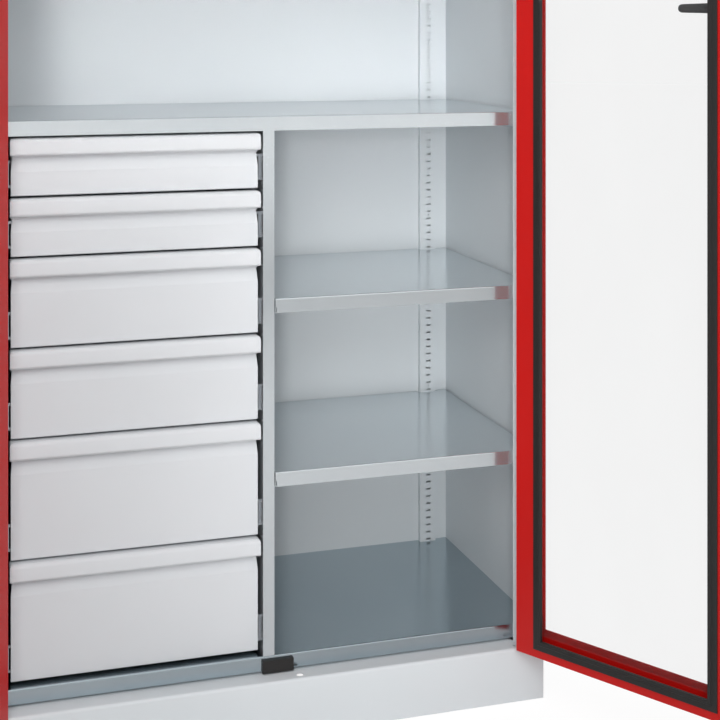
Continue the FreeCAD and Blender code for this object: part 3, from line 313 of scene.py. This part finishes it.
# %% [markdown]
# ## Folded sheet, carried along a line
# A drawer front is one sheet bent round a grip, a finger gap and a face. Real bends have a radius, and
# the light along those bends is what tells the eye that this is steel. The section is a line with an
# arc in each corner and the same line one thickness inside; it is carried along the drawer's width.

# %% A line with rounded corners
BEND_STEPS = 8


def bend_line(corners, radii, steps=BEND_STEPS):
    """Each corner between two legs becomes an arc that touches both. Its centre lies on the bisector at
    radius / cos(turn / 2); its points are centre + radius * (cos t * start + sin t * travel) for t from
    0 to the turn. Returns the points and the direction of travel at each of them."""
    legs = np.diff(corners, axis=0)
    legs = legs / np.linalg.norm(legs, axis=1, keepdims=True)
    before, after = legs[:-1], legs[1:]
    turn = np.arccos((before * after).sum(1))[:, None]
    bisector = (after - before) / np.linalg.norm(after - before, axis=1, keepdims=True)
    radius = radii[:, None]
    centre = corners[1:-1] + bisector * radius / np.cos(turn / 2)
    start = (corners[1:-1] - before * radius * np.tan(turn / 2) - centre) / radius
    angle = turn[:, None] * np.linspace(0, 1, steps)[None, :, None]
    outward = np.cos(angle) * start[:, None] + np.sin(angle) * before[:, None]
    arcs = centre[:, None] + radius[:, None] * outward
    travel = np.cos(angle) * before[:, None] - np.sin(angle) * start[:, None]
    line = np.vstack([corners[:1], arcs.reshape(-1, 2), corners[-1:]])
    return line, np.vstack([legs[:1], travel.reshape(-1, 2), legs[-1:]])


# %% From grids of points to a piece of the cabinet
def strip_faces(rows, columns, offset, loop):
    """Quads between neighbouring points of a grid whose columns close into a ring; with loop, its rows
    close too, and otherwise the first and last row are covered by one face each."""
    row, column = np.meshgrid(np.arange(rows if loop else rows - 1), np.arange(columns), indexing="ij")
    next_row, next_column = (row + 1) % rows, (column + 1) % columns
    corners = [row * columns + column, next_row * columns + column,
               next_row * columns + next_column, row * columns + next_column]
    faces = (np.stack(corners, -1).reshape(-1, 4) + offset).tolist()
    if not loop:
        first = np.arange(columns) + offset
        faces += [first[::-1].tolist(), (first + (rows - 1) * columns).tolist()]
    return faces


def make_piece(name, grids, slot, body, stands_for, loop=False):
    """One mesh from grids of points (rows, columns, 3), with its finish, riding on a body."""
    points, faces = [], []
    for grid in grids:
        faces += strip_faces(grid.shape[0], grid.shape[1], sum(map(len, points)), loop)
        points.append(grid.reshape(-1, 3))
    mesh = bpy.data.meshes.new(name)
    mesh.from_pydata(np.vstack(points).tolist(), [], faces)
    edit = bmesh.new()
    edit.from_mesh(mesh)
    bmesh.ops.recalc_face_normals(edit, faces=edit.faces)
    edit.to_mesh(mesh)
    edit.free()
    mesh.polygons.foreach_set("use_smooth", np.ones(len(mesh.polygons), bool))
    mesh.set_sharp_from_angle(angle=math.radians(40))
    mesh.materials.append(finishes[slot])
    piece = bpy.data.objects.new(name, mesh)
    bpy.context.scene.collection.objects.link(piece)
    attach(piece, body)
    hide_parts(*stands_for)


# %% The drawer front's section and its rounded grip ends
MM = 0.001
SHEET = 1.2 * MM
GRIP_HEIGHT = 29 * MM
GRIP_CORNER = 4.5 * MM
FINGER_HEIGHT = 6 * MM
FACE_RECESS = 15.5 * MM
FACE_INSET = 2.2 * MM
BAND_INSET = 4 * MM
FINGER_DEPTH = 5 * MM
BAND_HEIGHT = 21 * MM
BEND = 2.4 * MM
INNER_BEND = 1.2 * MM


def drawer_corners(low, high):
    """The corners of the front's outer line in Y and Z, from the fold on top round to the fold below."""
    front, face = low.y, low.y + FACE_RECESS
    inside = face + FINGER_DEPTH
    grip_low = high.z - GRIP_HEIGHT
    band = grip_low - FINGER_HEIGHT
    return np.array([
        (high.y, high.z), (front + 2 * MM, high.z), (front, grip_low), (inside, grip_low + MM),
        (inside, band), (face, band - BAND_HEIGHT), (face, low.z), (high.y, low.z),
    ])


INSET_STEPS = np.array([0.2, 0.4, 1.0, 1.0 + BAND_HEIGHT / FINGER_HEIGHT])
INSETS = np.array([0, BAND_INSET, BAND_INSET, FACE_INSET])


def carried(section, stations, top):
    """Point (i, j) is section point j at station i along X; the height is capped by a quarter circle
    of the grip's corner radius at both ends, so the grip's upper corners are round. Below the grip the
    ends are set in, a little more at the band."""
    inward = np.minimum(stations - stations[0], stations[-1] - stations)
    reach = np.clip(GRIP_CORNER - inward, 0, GRIP_CORNER)
    cap = top - GRIP_CORNER + np.sqrt(GRIP_CORNER ** 2 - reach ** 2)
    grid = np.empty((len(stations), len(section), 3))
    inset = np.interp(top - section[:, 1], GRIP_HEIGHT + FINGER_HEIGHT * INSET_STEPS, INSETS)
    grid[..., 0] = np.clip(stations[:, None], stations[0] + inset, stations[-1] - inset)
    grid[..., 1] = section[None, :, 0]
    grid[..., 2] = np.minimum(section[None, :, 1], cap[:, None])
    return grid


# %% Six drawer fronts
# A plug closes each end of the grip: the grip's line, filled, over the first few millimetres.
PLUG_ENDS = np.array([0.3, 1.5, 3, 5, 7, 10]) * MM
GRIP_BENDS = 3
grip = slice(1, 1 + GRIP_BENDS * BEND_STEPS)
ROUND = np.sin(np.linspace(0, math.pi / 2, 9))[::-1]
BENDS = np.array([8 * MM, 5 * MM, INNER_BEND, INNER_BEND, INNER_BEND, BEND])
for number in range(1, 7):
    low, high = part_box(f"drawer_{number}_front")
    line, travel = bend_line(drawer_corners(low, high), BENDS)
    left = np.column_stack([-travel[:, 1], travel[:, 0]])
    section = np.vstack([line, (line + SHEET * left)[::-1]])
    ends = GRIP_CORNER * (1 - ROUND)
    stations = np.concatenate([low.x + ends, (high.x - ends)[::-1]])
    plug_top = high.z - SHEET / 2
    plug = np.vstack([line[grip] + SHEET / 2 * left[grip], [(line[grip][-1, 0], plug_top)]])
    grids = [carried(section, stations, high.z)]
    for places in (low.x + PLUG_ENDS, (high.x - PLUG_ENDS)[::-1]):
        grid = carried(plug, np.concatenate([[low.x], places, [high.x]]), plug_top)
        grids.append(grid[1:-1])
    body = f"drawer_{number}"
    make_piece(f"drawer_front_{number}", grids, "drawer_grey", body, [f"drawer_{number}_front"])
print("six drawer fronts,", len(section), "points in a section")

# %% [markdown]
# ## Rubber profile of the doors
# A pushed-on rubber profile runs round the inside of each window: a flat grip over the steel fold and
# a hollow bulb beside it. A profile carried round a rectangle with mitred corners is all it takes: each
# point of the profile is a distance from the fold's edge and a depth, and becomes a ring of corners.

# %% The profile's section
# RAIL_SEAT is where the profile sits on the rails, from the door's edge.
DOOR_EDGE = 1.25 * MM
DOOR_FREE = 460.75 * MM
HINGE_FOLD = 45.5 * MM
LOCK_FOLD = 70 * MM
RAIL_SEAT = 22 * MM
DOOR_LOW = 98 * MM
DOOR_HIGH = 1910 * MM
seal_corners = np.array([
    (0, 25), (-8, 25), (-8, 27), (1.5, 27), (3, 29.5),
    (9, 29.5), (9, 20.8), (-8, 20.8), (-8, 23.8), (0, 23.8),
]) * MM
seal_bends = np.array([0.3, 0.9, 0.9, 0.9, 2.6, 2.6, 1.0, 0.3]) * MM
SEAL_STEPS = 6
seal_section = bend_line(seal_corners, seal_bends, SEAL_STEPS)[0]
seal_length = np.linalg.norm(np.diff(seal_section, axis=0), axis=1).sum()
print("profile of", len(seal_section), "points,", round(seal_length / MM, 1), "mm round")


# %% Carry it round both windows
def door_place(points, side):
    """Turns points of a closed door, given from its hinge, about the hinge to where the door stands."""
    joint = joints["door_right_hinge" if side > 0 else "door_left_hinge"]
    turn = math.radians(-side * joint["range_deg"][0])
    hinge_x, hinge_y = joint["pos_m"][:2]
    x = -side * points[..., 0]
    y = points[..., 1]
    return np.stack([
        hinge_x + math.cos(turn) * x - math.sin(turn) * y,
        hinge_y + math.sin(turn) * x + math.cos(turn) * y,
        points[..., 2],
    ], -1)


for side, side_name in ((-1, "left"), (1, "right")):
    shift, depth = seal_section[:, 0], seal_section[:, 1]
    near = DOOR_EDGE + HINGE_FOLD + shift
    far = DOOR_FREE - LOCK_FOLD - shift
    below = DOOR_LOW + RAIL_SEAT + shift
    above = DOOR_HIGH - RAIL_SEAT - shift
    rings = np.stack([
        np.stack([near, depth, below], -1), np.stack([far, depth, below], -1),
        np.stack([far, depth, above], -1), np.stack([near, depth, above], -1),
    ])
    make_piece(f"seal_profile_{side_name}", [door_place(rings, side)], "black_rubber", f"door_{side_name}",
               [f"door_seal_{side_name}"], loop=True)
print("two rubber profiles")

# %% [markdown]
# ## Lever of the swivel handle
# The handle on the right door is moulded: an oval that tapers along the lever and closes in a round end,
# on a turned hub. It is a loft, with one formula for the oval's size along the lever.

# %% The lever and its hub
LOCK_LINE = 412.25 * MM
HANDLE_HEIGHT = joints["handle_turn"]["pos_m"][2]
LEVER_ROOT = 10 * MM
LEVER_TIP = 7 * MM
LEVER_LENGTH = 110 * MM
LEVER_THICKNESS = 9 * MM
HUB_LENGTH = 24 * MM
SOFTNESS = 0.7


def squared(wave):
    """A sine or cosine wave drawn towards a square one, which turns a circle into a soft rectangle."""
    return np.sign(wave) * np.abs(wave) ** SOFTNESS


def lever_points(along, around):
    """Point (i, j) lies at share s of the lever's length and angle t of the oval. The oval's half width runs
    from root to tip; near an end both half sizes shrink as sqrt(1 - (1 - e)^2), e being the distance from
    the end in half widths."""
    share = ((1 - np.cos(np.linspace(0, math.pi, along))) / 2)[:, None]
    angle = np.linspace(0, 2 * math.pi, around, endpoint=False)[None, :]
    half = LEVER_ROOT + (LEVER_TIP - LEVER_ROOT) * share
    reach = share * (LEVER_ROOT + LEVER_LENGTH) - LEVER_ROOT
    from_end = np.clip(np.minimum(reach + LEVER_ROOT, LEVER_LENGTH - reach) / half, 0.01, 1)
    closing = np.sqrt(1 - (1 - from_end) ** 2)
    across = half * closing * squared(np.cos(angle))
    out = LEVER_THICKNESS / 2 * np.sqrt(closing) * squared(np.sin(angle))
    depth = out + LEVER_THICKNESS / 2 - HUB_LENGTH
    return np.stack([LOCK_LINE - reach + 0 * across, depth, HANDLE_HEIGHT + across], -1)


def turned(profile, around):
    """Point (i, j) is profile point i, a radius and a depth, turned by angle j about the handle's axis."""
    angle = np.linspace(0, 2 * math.pi, around, endpoint=False)[None, :]
    radius, depth = profile[:, :1], profile[:, 1:]
    across = LOCK_LINE + radius * np.cos(angle)
    height = HANDLE_HEIGHT + radius * np.sin(angle)
    return np.stack([across, depth + 0 * angle, height], -1)


hub_profile = np.array([(10, -0.5), (10, -9), (9.2, -11), (8.8, -14), (8.6, -18)]) * MM
lever_grids = [door_place(lever_points(40, 28), 1), door_place(turned(hub_profile, 40), 1)]
make_piece("handle_lever", lever_grids, "black_plastic", "handle", ["swivel_handle"])
print("lever of", sum(grid.shape[0] * grid.shape[1] for grid in lever_grids), "points")

# %% [markdown]
# ## Floor
# A product picture stands on white. The floor that the camera sees is almost shadeless, with only a
# breath of shadow under the cabinet; a second, ordinary pale floor just under it, which the camera
# doesn't see, throws light back as a real one does and shows in the zinc.

# %% A pale floor in two layers
SQUARE = np.array([(-1, -1, 0), (1, -1, 0), (1, 1, 0), (-1, 1, 0)])


def stage_finish(name, grey, glow):
    """A matt finish of this grey that also glows white by itself."""
    finish = Finish(name)
    finish.feed(finish.shader, {
        "Base Color": (grey, grey, grey, 1.0),
        "Roughness": 1.0,
        "Specular IOR Level": 0.0,
        "Emission Color": (1.0, 1.0, 1.0, 1.0),
        "Emission Strength": glow,
    })
    return finish.material


def stage_piece(name, points, faces, finish):
    """A mesh that belongs to the stage and not to the cabinet."""
    mesh = bpy.data.meshes.new(name)
    mesh.from_pydata(points.tolist(), [], faces)
    mesh.materials.append(finish)
    piece = bpy.data.objects.new(name, mesh)
    bpy.context.scene.collection.objects.link(piece)
    piece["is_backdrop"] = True
    return piece


def light_nothing(piece):
    """Keeps a glowing piece of the stage out of the light on the cabinet."""
    piece.visible_diffuse = False
    piece.visible_transmission = False
    piece.visible_shadow = False


def floor_layer(name, reach, height, finish):
    """A square sheet near the ground that reaches this far from the middle."""
    return stage_piece(name, SQUARE * reach + (0, 0, height), [(0, 1, 2, 3)], finish)


seen_floor = floor_layer("floor_seen", 30.0, -0.001, stage_finish("floor_seen", 0.12, 0.92))
light_nothing(seen_floor)
seen_floor.visible_glossy = False
bounce_floor = floor_layer("floor_bounce", 6.0, -0.002, stage_finish("floor_bounce", 0.82, 0.0))
bounce_floor.visible_camera = False
print("floor laid")

# %% [markdown]
# ## White all round
# A studio for sheet metal hangs white cloth all round, since bare zinc shows whatever it mirrors. Here
# the cloth is a dome, made twice: the outer one is the backdrop, the inner one, a little duller, is what
# the metal mirrors.

# %% Two white domes
TURN_STEPS = 48
RISE_STEPS = 13
turns = np.linspace(0, 2 * math.pi, TURN_STEPS, endpoint=False)
rises = np.radians(np.linspace(-12, 88, RISE_STEPS))
column, step = np.meshgrid(np.arange(TURN_STEPS), np.arange(RISE_STEPS - 1), indexing="ij")
here = column * RISE_STEPS + step
beside = (column + 1) % TURN_STEPS * RISE_STEPS + step
dome_faces = np.stack([here, here + 1, beside + 1, beside], -1).reshape(-1, 4)


def white_dome(name, radius, strength):
    """Part of a sphere, radius * (cos rise * cos turn, cos rise * sin turn, sin rise), that glows evenly
    and lights nothing by itself."""
    turn, rise = np.meshgrid(turns, rises, indexing="ij")
    direction = np.stack([np.cos(rise) * np.cos(turn), np.cos(rise) * np.sin(turn), np.sin(rise)], -1)
    points = (radius * direction).reshape(-1, 3)
    dome = stage_piece(name, points, dome_faces.tolist(), stage_finish(name, 0.0, strength))
    light_nothing(dome)
    return dome


white_dome("backdrop_dome", 28.0, 0.97).visible_glossy = False
white_dome("mirrored_dome", 26.0, 0.86).visible_camera = False
print("two domes of", len(dome_faces), "faces")

# %% [markdown]
# ## Light
# The room is softly white, a large panel in front gives the cabinet its shape, and a weak one above
# darkens what lies under the drawer grips. Two narrow panels with a grid reach into the shelves. None of
# them shows in the zinc, where a bright square would burn out the shelf edges.

# %% Soft light all round, and four panels
ROOM_LIGHT = 0.39
world = bpy.data.worlds.new("white_studio")
world.use_nodes = True
world.node_tree.nodes["Background"].inputs["Color"].default_value = (1.0, 1.0, 1.0, 1.0)
world.node_tree.nodes["Background"].inputs["Strength"].default_value = ROOM_LIGHT
bpy.context.scene.world = world
bpy.context.scene.view_settings.view_transform = "Standard"


def light_panel(name, place, target, size, power, spread):
    """A light of this width and height that faces a target; a small spread acts as a honeycomb grid."""
    data = bpy.data.lights.new(name, "AREA")
    data.shape = "RECTANGLE"
    data.size, data.size_y = size
    data.energy = power
    data.spread = math.radians(spread)
    panel = bpy.data.objects.new(name, data)
    panel.location = place
    aim = np.subtract(target, place)
    tilt = math.acos(-aim[2] / np.linalg.norm(aim))
    heading = math.atan2(aim[1], aim[0]) - math.pi / 2
    panel.rotation_euler = (tilt, 0.0, heading)
    panel.visible_glossy = False
    bpy.context.scene.collection.objects.link(panel)


light_panel("front_panel", (-0.7, -2.9, 2.5), (0.1, 0.0, 0.8), (1.8, 1.8), 56.0, 180)
light_panel("overhead_panel", (-0.3, -1.5, 3.2), (0.0, 0.0, 0.8), (1.6, 1.2), 9.0, 180)
light_panel("shelf_panel", (-0.7, -2.9, 0.65), (0.33, 0.3, 0.64), (0.5, 1.0), 0.76, 16)
light_panel("upper_panel", (-0.8, -3.0, 1.5), (0.02, 0.4, 1.25), (1.1, 0.4), 0.55, 14)
print("light set")

# %% Bounds of the dressed model
low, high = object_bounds()
